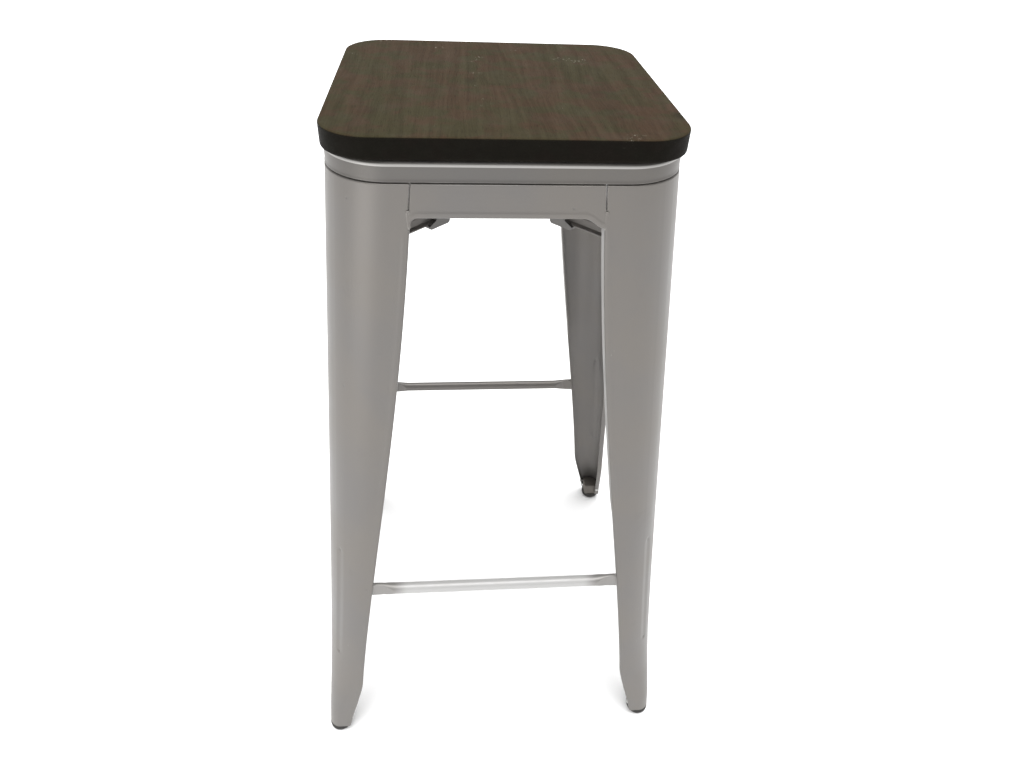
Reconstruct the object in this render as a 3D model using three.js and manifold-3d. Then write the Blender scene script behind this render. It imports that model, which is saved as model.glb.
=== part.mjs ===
// A backless bar stool: a wooden seat board on a pressed-steel pan, four tapered
// channel legs, an X-brace with stacking bumpers and four footrest bars.
// Units are millimetres and +Z is up. The origin is on the floor under the middle
// of the seat, and the front of the stool faces -Y.

import * as THREE from 'three';
import { mergeVertices } from 'three/addons/utils/BufferGeometryUtils.js';
import Module from 'manifold-3d';

const wasm = await Module();
wasm.setup();

// ---- Driving dimensions ----

// Whole stool
const SEAT_HEIGHT = 762;
const SEAT_SIDE = 300;
const FOOT_SPREAD = 426; // across the outer faces of the legs at the floor
const SHEET = 1.5; // steel thickness of every pressed piece
const GAP = 0.3; // between two pieces that touch
const BEND = 2.5; // outside radius of a folded edge

// Seat board
const BOARD_THICK = 19;
const BOARD_CORNER = 42;
const BOARD_EASE = 2; // rounding of the board's edges

// Seat pan
const PAN_INSET = 0.75; // skirt's face in from the board's edge
const PAN_CORNER = 54;
const PAN_SHOULDER = 4; // rounding between the pan's top and its skirt
const PAN_DEPTH = 16.7;

// Joint between the legs, rails and pan
const SEAM_GAP = 1.5; // open line under the skirt
const LEG_PROUD = 0.6; // legs stand this far outside the skirt
const SPIGOT_CLEAR = 0.6; // inside the skirt
const SPIGOT_HEIGHT = 12; // above the skirt's lower edge
const JOGGLE = 1.2; // height of the step between face and spigot

// Legs
const LEG_BOTTOM = 11;
const LEG_LIP = 7.5;
const LEG_TOP_WIDTH = 71.2; // flange beside a rail
const LEG_RAIL_WIDTH = 73; // flange just under a rail
const LEG_KNEE_WIDTH = 42;
const LEG_FOOT_WIDTH = 27;
const KNEE_HEIGHT = 110;
const FOOT_CORNER = 14;

// Pressed bead down the outer corner of each leg
const BEAD_LOW = 145;
const BEAD_HIGH = 320;
const BEAD_WIDTH = 8;
const BEAD_DEPTH = 1.8;
const BEAD_RUNOUT = 5;

// Rails under the skirt
const RAIL_HEIGHT = 28;
const RAIL_LIP = 9;
const RAIL_EAR = 8; // fillet at each lower corner

// X-brace
const BRACE_DROP = 56; // seam down to the brace's top
const BRACE_HEIGHT = 11.5;
const BRACE_WIDTH = 17;
const BRACE_LIP = 2.5;
const BRACE_TAB = 14;
const BRACE_CLEAR = 0.8; // end to the leg's inside

// Stacking bumpers, measured along an arm from the middle of the stool
const BUMPER_START = 80;
const BUMPER_END = 106;
const BUMPER_HEEL = 9; // the floor runs this far past the side walls
const BUMPER_DROP = 3.4; // below the brace
const BUMPER_WALL = 2.5;
const BUMPER_GRIP = 8; // side walls above the brace's lower edge
const BUMPER_CHAMFER = 2;

// Footrest bars
const BAR_RADIUS = 6.35;
const BAR_INSET = 6; // axis in from the leg's outer face
const FRONT_BAR_HEIGHT = 262;
const SIDE_BAR_HEIGHT = 310;
const PADDLE_HALF_HEIGHT = 9;
const PADDLE_HALF_THICK = 2.2;
const PADDLE_LENGTH = 24;

// Rubber feet
const PLUG_TOP = 32;
const PLUG_CORNER = 4;
const SOLE_RADIUS = 9;
const PAD_SHOULDER = 6;

// Rivets through the leg lips
const RIVET_HEIGHT = 25;
const RIVET_FROM_FACE = 4.6;
const RIVET_SHANK = 1.4;
const RIVET_HEAD = 2.5;
const RIVET_DOME = 1.2;
const RIVET_LENGTH = 6;

// Screws that hold the board
const SCREW_OFFSET = 92; // from the middle, along X and Y
const SCREW_SHANK = 2;
const SCREW_HEAD = 4.2;
const SCREW_HEAD_HEIGHT = 2.6;
const SCREW_BITE = 12; // into the board
const WASHER_RADIUS = 6.5;
const WASHER_THICK = 1;

// ---- Derived dimensions ----

const boardHalf = SEAT_SIDE / 2;
const boardBottom = SEAT_HEIGHT - BOARD_THICK;
const panTop = boardBottom - GAP;
const panHalf = boardHalf - PAN_INSET;
const skirtBottom = panTop - PAN_DEPTH;
const seamHeight = skirtBottom - SEAM_GAP;
const spigotHalf = panHalf - SHEET - SPIGOT_CLEAR;
const spigotTop = skirtBottom + SPIGOT_HEIGHT;
const legTopHalf = panHalf + LEG_PROUD;
const legLean = (FOOT_SPREAD / 2 - legTopHalf) / seamHeight;
const railBottom = seamHeight - RAIL_HEIGHT;
const earBottom = railBottom - RAIL_EAR;
const braceTop = seamHeight - BRACE_DROP;
const braceBottom = braceTop - BRACE_HEIGHT;
const holeClear = GAP;

// Flange width and corner radius of a leg at a few heights, from foot to seam.
const FLANGE_WIDTHS = [
  [LEG_BOTTOM, LEG_FOOT_WIDTH],
  [30, 30],
  [65, 37],
  [94, 41.5],
  [KNEE_HEIGHT, LEG_KNEE_WIDTH],
  [earBottom, LEG_RAIL_WIDTH],
  [railBottom + 4, LEG_TOP_WIDTH],
  [seamHeight, LEG_TOP_WIDTH],
];
const CORNER_RADII = [
  [LEG_BOTTOM, FOOT_CORNER],
  [30, 15],
  [65, 22],
  [94, 30],
  [150, 39],
  [320, 47],
  [seamHeight, PAN_CORNER],
];

// ---- Materials ----

const steelPaint = () => new THREE.MeshStandardMaterial({ color: 0x96918a, roughness: 0.42, metalness: 0.6 });
const walnut = () => new THREE.MeshStandardMaterial({ color: 0x52493a, roughness: 0.6, metalness: 0 });
const blackRubber = () => new THREE.MeshStandardMaterial({ color: 0x2b2a28, roughness: 0.8, metalness: 0 });
const charcoalPlastic = () => new THREE.MeshStandardMaterial({ color: 0x3a383c, roughness: 0.6, metalness: 0 });
const zincPlate = () => new THREE.MeshStandardMaterial({ color: 0xa8a8a6, roughness: 0.35, metalness: 0.9 });

// ---- Geometry helpers ----

function interpolate(table, z) {
  const above = table.findIndex(([height]) => height >= z);
  if (above === 0) {
    return table[0][1];
  }
  if (above === -1) {
    return table[table.length - 1][1];
  }
  const [z0, v0] = table[above - 1];
  const [z1, v1] = table[above];
  return THREE.MathUtils.mapLinear(z, z0, z1, v0, v1);
}

function closedGeometry(points, faces) {
  const geometry = new THREE.BufferGeometry();
  const positions = points.flatMap((p) => [p.x, p.y, p.z]);
  geometry.setAttribute('position', new THREE.Float32BufferAttribute(positions, 3));
  geometry.setIndex(signedVolume(points, faces) < 0 ? faces.toReversed() : faces);
  geometry.computeVertexNormals();
  return geometry;
}

function signedVolume(points, faces) {
  let volume = 0;
  const cross = new THREE.Vector3();
  for (let i = 0; i < faces.length; i += 3) {
    cross.crossVectors(points[faces[i + 1]], points[faces[i + 2]]);
    volume += points[faces[i]].dot(cross) / 6;
  }
  return volume;
}

function quad(faces, a, b, c, d) {
  faces.push(a, b, c, a, c, d);
}

// A folded sheet: every station gives matching points on its outer and inner side.
function sheetLoft(stations) {
  const n = stations[0].outer.length;
  const points = stations.flatMap(({ outer, inner }) => [...outer, ...inner]);
  const outerAt = (i, j) => i * 2 * n + j;
  const innerAt = (i, j) => i * 2 * n + n + j;
  const last = stations.length - 1;
  const faces = [];
  for (let i = 0; i < last; i++) {
    for (let j = 0; j < n - 1; j++) {
      quad(faces, outerAt(i, j), outerAt(i, j + 1), outerAt(i + 1, j + 1), outerAt(i + 1, j));
      quad(faces, innerAt(i, j), innerAt(i + 1, j), innerAt(i + 1, j + 1), innerAt(i, j + 1));
    }
    quad(faces, outerAt(i, 0), outerAt(i + 1, 0), innerAt(i + 1, 0), innerAt(i, 0));
    quad(faces, outerAt(i, n - 1), innerAt(i, n - 1), innerAt(i + 1, n - 1), outerAt(i + 1, n - 1));
  }
  for (let j = 0; j < n - 1; j++) {
    quad(faces, outerAt(0, j), innerAt(0, j), innerAt(0, j + 1), outerAt(0, j + 1));
    quad(faces, outerAt(last, j), outerAt(last, j + 1), innerAt(last, j + 1), innerAt(last, j));
  }
  return closedGeometry(points, faces);
}

// A solid through closed rings of equal length, with flat ends.
function ringLoft(rings) {
  const n = rings[0].length;
  const points = rings.flat();
  const last = (rings.length - 1) * n;
  const faces = [];
  for (let start = 0; start < last; start += n) {
    for (let j = 0; j < n; j++) {
      const next = (j + 1) % n;
      quad(faces, start + j, start + next, start + n + next, start + n + j);
    }
  }
  for (let j = 1; j < n - 1; j++) {
    faces.push(0, j + 1, j);
    faces.push(last, last + j, last + j + 1);
  }
  return closedGeometry(points, faces);
}

function roundedSquare(half, radius, segments) {
  const core = half - radius;
  const outline = [];
  for (let corner = 0; corner < 4; corner++) {
    const start = (corner * Math.PI) / 2;
    const cx = core * Math.SQRT2 * Math.cos(start + Math.PI / 4);
    const cy = core * Math.SQRT2 * Math.sin(start + Math.PI / 4);
    for (let i = 0; i <= segments; i++) {
      const angle = start + (i / segments) * (Math.PI / 2);
      outline.push(new THREE.Vector2(cx + radius * Math.cos(angle), cy + radius * Math.sin(angle)));
    }
  }
  return outline;
}

function toSolid(geometry) {
  const bare = geometry.clone();
  bare.deleteAttribute('normal');
  bare.deleteAttribute('uv');
  const merged = mergeVertices(bare, 1e-4);
  const vertProperties = Float32Array.from(merged.attributes.position.array);
  const triVerts = Uint32Array.from(merged.index.array);
  return new wasm.Manifold(new wasm.Mesh({ numProp: 3, vertProperties, triVerts }));
}

function toGeometry(solid) {
  const mesh = solid.getMesh();
  const geometry = new THREE.BufferGeometry();
  geometry.setAttribute('position', new THREE.Float32BufferAttribute(mesh.vertProperties, 3));
  geometry.setIndex(Array.from(mesh.triVerts));
  geometry.computeVertexNormals();
  return geometry;
}

function cut(geometry, cutters) {
  const solid = cutters.reduce((rest, cutter) => rest.subtract(toSolid(cutter)), toSolid(geometry));
  return toGeometry(solid);
}

function join(geometries) {
  const solids = geometries.map(toSolid);
  return toGeometry(solids.reduce((whole, solid) => whole.add(solid)));
}

// A cylinder along +Z from z0 to z1.
function post(radius, z0, z1, x = 0, y = 0) {
  const geometry = new THREE.CylinderGeometry(radius, radius, z1 - z0, 12);
  return geometry.rotateX(Math.PI / 2).translate(x, y, (z0 + z1) / 2);
}

function box(low, high) {
  const size = high.map((value, i) => value - low[i]);
  const middle = high.map((value, i) => (value + low[i]) / 2);
  return new THREE.BoxGeometry(...size).translate(...middle);
}

// A lathed piece about +Z from [radius, z] points.
function turned(profile, segments) {
  const points = profile.map(([radius, z]) => new THREE.Vector2(radius, z));
  return new THREE.LatheGeometry(points, segments).rotateX(Math.PI / 2);
}

// ---- Leg shape, shared by every piece that meets a leg ----

// Outer face of the legs and rails, before the step into the spigot.
function faceAt(z) {
  return FOOT_SPREAD / 2 - legLean * z;
}

function steppedFaceAt(z) {
  const step = THREE.MathUtils.clamp((z - seamHeight) / JOGGLE, 0, 1);
  return THREE.MathUtils.lerp(faceAt(z), spigotHalf, step);
}

function cornerAt(z) {
  const step = THREE.MathUtils.clamp((z - seamHeight) / JOGGLE, 0, 1);
  const spigotCorner = PAN_CORNER - SHEET - SPIGOT_CLEAR;
  return THREE.MathUtils.lerp(interpolate(CORNER_RADII, z), spigotCorner, step);
}

// Free edge of a leg's flange, measured from the middle of the stool.
function legEdgeAt(z) {
  return faceAt(z) - interpolate(FLANGE_WIDTHS, z);
}

function beadDepthAt(z, across) {
  const along = Math.min(z - BEAD_LOW, BEAD_HIGH - z) / BEAD_RUNOUT;
  const inside = 1 - Math.abs(across) / (BEAD_WIDTH / 2);
  return BEAD_DEPTH * THREE.MathUtils.clamp(along, 0, 1) * THREE.MathUtils.clamp(inside * 2, 0, 1);
}

// ---- Pieces ----

function seatBoard() {
  const outline = roundedSquare(boardHalf - BOARD_EASE, BOARD_CORNER - BOARD_EASE, 10);
  const board = new THREE.ExtrudeGeometry(new THREE.Shape(outline), {
    depth: BOARD_THICK - 2 * BOARD_EASE,
    bevelSize: BOARD_EASE,
    bevelThickness: BOARD_EASE,
    bevelSegments: 2,
  });
  board.translate(0, 0, boardBottom + BOARD_EASE);
  const holeTop = boardBottom + SCREW_BITE + 2 * GAP;
  return cut(board, screwPlaces().map(([x, y]) => post(SCREW_SHANK + holeClear, boardBottom - 1, holeTop, x, y)));
}

function seatPan() {
  const ring = (inset, z) =>
    roundedSquare(panHalf - inset, PAN_CORNER - inset, 8).map((p) => new THREE.Vector3(p.x, p.y, z));
  const shoulder = [0, 1, 2, 3].map((i) => (i * Math.PI) / 6);
  const innerRadius = PAN_SHOULDER - SHEET;
  const centreZ = panTop - PAN_SHOULDER;
  const outerRings = shoulder.map((a) =>
    ring(PAN_SHOULDER * (1 - Math.cos(a)), centreZ + PAN_SHOULDER * Math.sin(a)));
  const innerRings = shoulder.map((a) =>
    ring(PAN_SHOULDER - innerRadius * Math.cos(a), centreZ + innerRadius * Math.sin(a)));
  const rings = [...innerRings.toReversed(), ring(SHEET, skirtBottom), ring(0, skirtBottom), ...outerRings];
  const holes = screwPlaces().map(([x, y]) =>
    post(SCREW_SHANK + holeClear, panTop - 2 * SHEET, panTop + 1, x, y));
  return cut(ringLoft(rings), holes);
}

// One side of a leg's section at height z, inset from its outer surface.
function legPath(z, inset) {
  const face = steppedFaceAt(z);
  const corner = cornerAt(z);
  const edge = legEdgeAt(z);
  const at = (cx, cy, radius, angle) =>
    new THREE.Vector3(cx + radius * Math.cos(angle), cy + radius * Math.sin(angle), z);
  const fold = [0, 1, 2].map((i) => (i * Math.PI) / 4);
  const sweep = [0, 0.1, 0.2, 0.3].map((share) => (share * Math.PI) / 2);
  const middle = [-0.5, -0.25, 0, 0.25, 0.5].map((share) => share * BEAD_WIDTH);
  const arc = [
    ...sweep.map((angle) => at(face - corner, face - corner, corner - inset, Math.PI / 2 - angle)),
    ...middle.map((across) => {
      const radius = corner - inset - beadDepthAt(z, across);
      return at(face - corner, face - corner, radius, Math.PI / 4 - across / corner);
    }),
    ...sweep.toReversed().map((angle) => at(face - corner, face - corner, corner - inset, angle)),
  ];
  return [
    new THREE.Vector3(edge + inset, face - LEG_LIP, z),
    ...fold.map((angle) => at(edge + BEND, face - BEND, BEND - inset, Math.PI - angle)),
    ...arc,
    ...fold.map((angle) => at(face - BEND, edge + BEND, BEND - inset, -angle)),
    new THREE.Vector3(face - LEG_LIP, edge + inset, z),
  ];
}

// A leg in the +X +Y corner.
function leg() {
  const heights = [
    LEG_BOTTOM,
    20,
    30,
    47,
    65,
    80,
    94,
    KNEE_HEIGHT,
    128,
    BEAD_LOW,
    BEAD_LOW + BEAD_RUNOUT,
    230,
    BEAD_HIGH - BEAD_RUNOUT,
    BEAD_HIGH,
    420,
    (420 + earBottom) / 2,
    earBottom,
    railBottom + 4,
    seamHeight,
    seamHeight + JOGGLE,
    spigotTop,
  ];
  const stations = heights.map((z) => ({ outer: legPath(z, 0), inner: legPath(z, SHEET) }));
  return cut(sheetLoft(stations), rivetHoles());
}

// A rail on the +Y side. Its ends follow the edges of the legs.
function rail() {
  const fromEnd = [0, 1, 2.5, 4.5, RAIL_EAR];
  const ends = [...fromEnd.map((d) => [-1, d]), ...fromEnd.toReversed().map((d) => [1, d])];
  const stations = ends.map(([side, d]) => ({ outer: railPath(side, d, 0), inner: railPath(side, d, SHEET) }));
  return sheetLoft(stations);
}

function railPath(side, fromEnd, inset) {
  const sag = RAIL_EAR - Math.sqrt(RAIL_EAR ** 2 - (RAIL_EAR - fromEnd) ** 2);
  const low = railBottom - sag;
  const point = (y, z) => new THREE.Vector3(side * (legEdgeAt(z) - GAP - fromEnd), y, z);
  const fold = [0, 1, 2].map((i) => {
    const angle = (i * Math.PI) / 4;
    const radius = BEND - inset;
    return point(faceAt(low) - BEND + radius * Math.sin(angle), low + BEND - radius * Math.cos(angle));
  });
  return [
    point(faceAt(low) - RAIL_LIP, low + inset),
    ...fold,
    point(faceAt(seamHeight) - inset, seamHeight),
    point(spigotHalf - inset, seamHeight + JOGGLE),
    point(spigotHalf - inset, spigotTop),
  ];
}

// Distance along an arm of the brace to its end inside a leg's corner.
function braceReach(across, z) {
  const corner = cornerAt(z);
  const middle = (faceAt(z) - corner) * Math.SQRT2;
  return middle + Math.sqrt((corner - SHEET) ** 2 - across ** 2) - BRACE_CLEAR;
}

// The whole strip of the brace along +X, from one leg to the opposite one.
function braceStrip() {
  const web = BRACE_WIDTH / 2;
  const lip = web + BRACE_LIP;
  const low = braceBottom;
  const top = braceTop;
  const outline = (side, path) =>
    path.map(([across, z]) => new THREE.Vector3(side * braceReach(across, z), across, z));
  const outer = [[-lip, low + SHEET], [-web, low + SHEET], [-web, top], [web, top], [web, low + SHEET], [lip, low + SHEET]];
  const wall = web - SHEET;
  const inner = [[-lip, low], [-wall, low], [-wall, top - SHEET], [wall, top - SHEET], [wall, low], [lip, low]];
  const strip = sheetLoft([-1, 1].map((side) => ({ outer: outline(side, outer), inner: outline(side, inner) })));
  return join([strip, braceTab(-1), braceTab(1)]);
}

// The bent end of a strip, which lies against the inside of a leg.
function braceTab(side) {
  const web = BRACE_WIDTH / 2;
  const across = [-1, -0.5, 0, 0.5, 1].map((share) => share * web);
  const row = (z, inset) =>
    across.map((v) => new THREE.Vector3(side * (braceReach(v, z) - inset), v, z));
  const stations = [braceTop - SHEET, braceTop + BRACE_TAB];
  return sheetLoft(stations.map((z) => ({ outer: row(z, 0), inner: row(z, SHEET) })));
}

// The two strips halve into each other where they cross.
function upperBrace() {
  const half = BRACE_WIDTH / 2 + BRACE_LIP + GAP;
  const middle = (braceTop + braceBottom) / 2 - GAP / 2;
  return cut(braceStrip(), [box([-half, -half, braceBottom - 1], [half, half, middle + GAP])]);
}

function lowerBrace() {
  const half = BRACE_WIDTH / 2 + GAP;
  const middle = (braceTop + braceBottom) / 2 - GAP / 2;
  return cut(braceStrip(), [box([-half, -half, middle], [half, half, braceTop + 1])]);
}

// A bumper clipped under the arm that runs along +X.
function bumper() {
  const base = braceBottom - BUMPER_DROP;
  const grip = braceBottom + BUMPER_GRIP;
  const wallEnd = BUMPER_END - BUMPER_HEEL;
  const side = [
    [BUMPER_START, base + BUMPER_CHAMFER],
    [BUMPER_START + BUMPER_CHAMFER, base],
    [BUMPER_END - BUMPER_CHAMFER, base],
    [BUMPER_END, base + BUMPER_CHAMFER],
    [BUMPER_END, braceBottom],
    [wallEnd, (braceBottom + grip) / 2],
    [wallEnd, grip],
    [BUMPER_START, grip],
  ];
  const channelHalf = BRACE_WIDTH / 2 + BRACE_LIP + GAP;
  const outerHalf = channelHalf + BUMPER_WALL;
  const block = new THREE.ExtrudeGeometry(new THREE.Shape(side.map(([x, z]) => new THREE.Vector2(x, z))), {
    depth: 2 * outerHalf,
    bevelEnabled: false,
  });
  block.rotateX(Math.PI / 2).translate(0, outerHalf, 0);
  const neckHalf = BRACE_WIDTH / 2 + GAP;
  const lipRoom = box(
    [BUMPER_START - 1, -channelHalf, braceBottom - GAP],
    [BUMPER_END + 1, channelHalf, braceBottom + SHEET + GAP]);
  const neckRoom = box(
    [BUMPER_START - 1, -neckHalf, braceBottom],
    [BUMPER_END + 1, neckHalf, grip + 1]);
  return cut(block, [lipRoom, neckRoom]);
}

// A footrest bar along X on the +Y side: round, with its ends pressed flat.
function footBar(height) {
  const fromEnd = [0, PADDLE_LENGTH / 3, (2 * PADDLE_LENGTH) / 3, PADDLE_LENGTH];
  const ends = [...fromEnd.map((d) => [-1, d]), ...fromEnd.toReversed().map((d) => [1, d])];
  const axis = faceAt(height) - BAR_INSET;
  const rings = ends.map(([side, d]) => {
    const round = THREE.MathUtils.smoothstep(d, 0, PADDLE_LENGTH);
    const halfHeight = THREE.MathUtils.lerp(PADDLE_HALF_HEIGHT, BAR_RADIUS, round);
    const halfThick = THREE.MathUtils.lerp(PADDLE_HALF_THICK, BAR_RADIUS, round);
    return Array.from({ length: 16 }, (_, i) => {
      const angle = (i * Math.PI) / 8;
      const z = height + halfHeight * Math.sin(angle);
      const x = side * (legEdgeAt(z) - GAP - d);
      return new THREE.Vector3(x, axis + halfThick * Math.cos(angle), z);
    });
  });
  return ringLoft(rings);
}

// Slants a piece so that it follows the lean of the leg in the +X +Y corner.
function leanWithLeg(geometry) {
  return geometry.applyMatrix4(new THREE.Matrix4().makeShear(0, 0, 0, 0, -legLean, -legLean));
}

// A foot in the +X +Y corner: a plug that fills the end of the leg, on a round pad.
function rubberFoot() {
  const middle = FOOT_SPREAD / 2 - FOOT_CORNER;
  const padTop = LEG_BOTTOM - GAP;
  const padSide = FOOT_CORNER;
  const pad = turned([
    [0, 0],
    [SOLE_RADIUS, 0],
    [SOLE_RADIUS + 0.6 * (padSide - SOLE_RADIUS), 0.25 * PAD_SHOULDER],
    [padSide, PAD_SHOULDER],
    [padSide, padTop],
    [0, padTop],
  ], 16);
  const plug = new THREE.ExtrudeGeometry(plugOutline(), {
    depth: PLUG_TOP - padTop + 1,
    bevelEnabled: false,
    curveSegments: 4,
  });
  plug.translate(0, 0, padTop - 1);
  const foot = join([pad, plug]).translate(middle, middle, 0);
  return cut(leanWithLeg(foot), rivetHoles());
}

// Section of the plug about the pad's centre, with its large corner in +X +Y.
function plugOutline() {
  const far = FOOT_CORNER - LEG_FOOT_WIDTH + SHEET + GAP;
  const near = FOOT_CORNER - SHEET - GAP;
  const outerCorner = cornerAt(PLUG_TOP) - SHEET - GAP;
  const centre = near - outerCorner;
  const shape = new THREE.Shape();
  shape.moveTo(far + PLUG_CORNER, far);
  shape.lineTo(near - PLUG_CORNER, far);
  shape.absarc(near - PLUG_CORNER, far + PLUG_CORNER, PLUG_CORNER, -Math.PI / 2, 0);
  shape.absarc(centre, centre, outerCorner, 0, Math.PI / 2);
  shape.absarc(far + PLUG_CORNER, near - PLUG_CORNER, PLUG_CORNER, Math.PI / 2, Math.PI);
  shape.absarc(far + PLUG_CORNER, far + PLUG_CORNER, PLUG_CORNER, Math.PI, 1.5 * Math.PI);
  return shape;
}

// Places a piece made along +Z so that it points out of a lip of the +X +Y leg.
function atLip(geometry, facesX) {
  const edge = legEdgeAt(RIVET_HEIGHT);
  const across = faceAt(RIVET_HEIGHT) - RIVET_FROM_FACE;
  if (facesX) {
    return geometry.rotateY(-Math.PI / 2).translate(edge, across, RIVET_HEIGHT);
  }
  return geometry.rotateX(Math.PI / 2).translate(across, edge, RIVET_HEIGHT);
}

function rivetHoles() {
  return [true, false].map((facesX) => atLip(post(RIVET_SHANK + holeClear, -RIVET_LENGTH - 1, 2), facesX));
}

function rivet(facesX) {
  const seat = 2 * GAP;
  const profile = turned([
    [0, -RIVET_LENGTH],
    [RIVET_SHANK, -RIVET_LENGTH],
    [RIVET_SHANK, seat],
    [RIVET_HEAD, seat],
    [0.75 * RIVET_HEAD, seat + 0.7 * RIVET_DOME],
    [0, seat + RIVET_DOME],
  ], 10);
  return atLip(profile, facesX);
}

function screwPlaces() {
  return [[1, 1], [-1, 1], [-1, -1], [1, -1]].map(([sx, sy]) => [sx * SCREW_OFFSET, sy * SCREW_OFFSET]);
}

// A pan-head screw that points up into the board.
function boardScrew() {
  const underWeb = panTop - SHEET;
  const headTop = underWeb - WASHER_THICK - 2 * GAP;
  const headBottom = headTop - SCREW_HEAD_HEIGHT;
  return turned([
    [0, headBottom],
    [0.7 * SCREW_HEAD, headBottom],
    [SCREW_HEAD, headBottom + 0.4 * SCREW_HEAD_HEIGHT],
    [SCREW_HEAD, headTop],
    [SCREW_SHANK, headTop],
    [SCREW_SHANK, boardBottom + SCREW_BITE - SCREW_SHANK],
    [0, boardBottom + SCREW_BITE],
  ], 12);
}

function washer() {
  const top = panTop - SHEET - GAP;
  const bore = SCREW_SHANK + holeClear;
  return turned([
    [bore, top],
    [bore, top - WASHER_THICK],
    [WASHER_RADIUS, top - WASHER_THICK],
    [WASHER_RADIUS, top],
    [bore, top],
  ], 16);
}

// ---- Assembly ----

const stool = new THREE.Group();

function place(name, geometry, material, turns = 0) {
  const mesh = new THREE.Mesh(geometry, material);
  mesh.name = name;
  mesh.rotation.z = (turns * Math.PI) / 2;
  stool.add(mesh);
}

place('seat_board', seatBoard(), walnut());
place('seat_pan', seatPan(), steelPaint());

const CORNERS = ['back_right', 'back_left', 'front_left', 'front_right'];
const SIDES = ['back', 'left', 'front', 'right'];
const EIGHTH_TURN = 0.5;

CORNERS.forEach((corner, turns) => {
  place(`leg_${corner}`, leg(), steelPaint(), turns);
  place(`foot_${corner}`, rubberFoot(), blackRubber(), turns);
  place(`foot_rivet_a_${corner}`, rivet(true), zincPlate(), turns);
  place(`foot_rivet_b_${corner}`, rivet(false), zincPlate(), turns);
  place(`bumper_${corner}`, bumper(), charcoalPlastic(), turns + EIGHTH_TURN);
});

SIDES.forEach((side, turns) => {
  place(`rail_${side}`, rail(), steelPaint(), turns);
  const height = turns % 2 === 0 ? FRONT_BAR_HEIGHT : SIDE_BAR_HEIGHT;
  place(`footrest_bar_${side}`, footBar(height), steelPaint(), turns);
});

place('brace_upper', upperBrace(), steelPaint(), EIGHTH_TURN);
place('brace_lower', lowerBrace(), steelPaint(), 1 + EIGHTH_TURN);

screwPlaces().forEach(([x, y], i) => {
  place(`board_screw_${i + 1}`, boardScrew().translate(x, y, 0), zincPlate());
  place(`board_washer_${i + 1}`, washer().translate(x, y, 0), zincPlate());
});

export default stool;
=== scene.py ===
"""The looks of a pressed-steel cafe bar stool with a walnut seat board.

Everything is in metres in the stool's own frame: +Z is up, the floor is at Z = 0 and the
front of the stool faces -Y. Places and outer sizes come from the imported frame, and the
sizes below are the ones that a maker sets on the steel, the rubber and the wood.
"""

from math import atan2, cos, exp, hypot, pi, radians, sin, sqrt, tan

import bmesh
import bpy
from mathutils import Matrix, Vector, noise


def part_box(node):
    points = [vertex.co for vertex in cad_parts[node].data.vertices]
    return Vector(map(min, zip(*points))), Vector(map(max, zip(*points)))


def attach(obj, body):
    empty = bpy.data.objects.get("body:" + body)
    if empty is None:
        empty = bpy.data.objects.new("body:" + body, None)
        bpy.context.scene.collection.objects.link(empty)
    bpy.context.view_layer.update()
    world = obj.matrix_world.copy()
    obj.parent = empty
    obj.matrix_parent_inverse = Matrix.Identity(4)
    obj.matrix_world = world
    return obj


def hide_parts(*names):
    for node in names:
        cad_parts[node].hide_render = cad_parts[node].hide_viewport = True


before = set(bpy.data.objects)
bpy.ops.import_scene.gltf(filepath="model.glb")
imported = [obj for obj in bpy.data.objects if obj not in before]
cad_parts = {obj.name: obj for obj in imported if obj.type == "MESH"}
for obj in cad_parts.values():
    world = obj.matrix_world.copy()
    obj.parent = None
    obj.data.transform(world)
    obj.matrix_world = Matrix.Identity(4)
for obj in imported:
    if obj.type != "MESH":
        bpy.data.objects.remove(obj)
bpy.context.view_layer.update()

MM = 0.001
QUARTER = pi / 2
CORNERS = ["back_right", "back_left", "front_left", "front_right"]
SIDES = ["back", "left", "front", "right"]

# ---- Sizes of the steel, rubber and wood ----

SHEET = 1.5 * MM
CLEARANCE = 0.3 * MM
FOLD_RADIUS = 2.5 * MM
TIGHT_FOLD = 0.7 * MM  # where a leg's edge lies beside a rail

SEAM_GAP = 1.5 * MM  # open line under the pan's skirt
LEG_PROUD = 0.6 * MM  # legs and rails stand this far outside the skirt
SPIGOT_INSET = 2.1 * MM  # from the skirt's face in to the tongue behind it
STEP_HEIGHT = 1.2 * MM
PAN_CORNER = 54 * MM
PAN_SHOULDER = 4 * MM
PAN_FLARE, FLARE_HEIGHT = 0.55 * MM, 1.8 * MM  # at the skirt's lower edge
RIM_HIGHLIGHT_DROP = 3.2 * MM  # from the pan's top to its painted highlight line

LEG_LIP = 7.5 * MM
DEEP_LIP = 15 * MM  # above the footrest bars
LIP_STEP_LOW, LIP_STEP_HIGH = 355 * MM, 385 * MM
FOLD_SWELL = 0.3 * MM  # spring-back ridge beside every folded edge
SWELL_PLACE, SWELL_WIDTH = 4.2 * MM, 1.5 * MM
EDGE_ZONE = 9 * MM  # finely cut stretch that holds the ridge
RAIL_LIP = 9 * MM
RAIL_EAR = 8 * MM
LONG_EAR = 19 * MM  # run of the wider fillet at one end of each rail
OPEN_SEAM = 21 * MM  # the slit between a leg and a rail, above their weld
SLIT = 1.2 * MM

BEAD_LOW, BEAD_HIGH = 145 * MM, 320 * MM
BEAD_WIDTH, BEAD_DEPTH, BEAD_RUNOUT = 14 * MM, 0.7 * MM, 7 * MM
BEAD_SHARE = 0.7  # of the corner's arc, at most, where the corner is small
DIMPLE_RADIUS, DIMPLE_DEPTH = 3.4 * MM, 0.9 * MM

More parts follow.
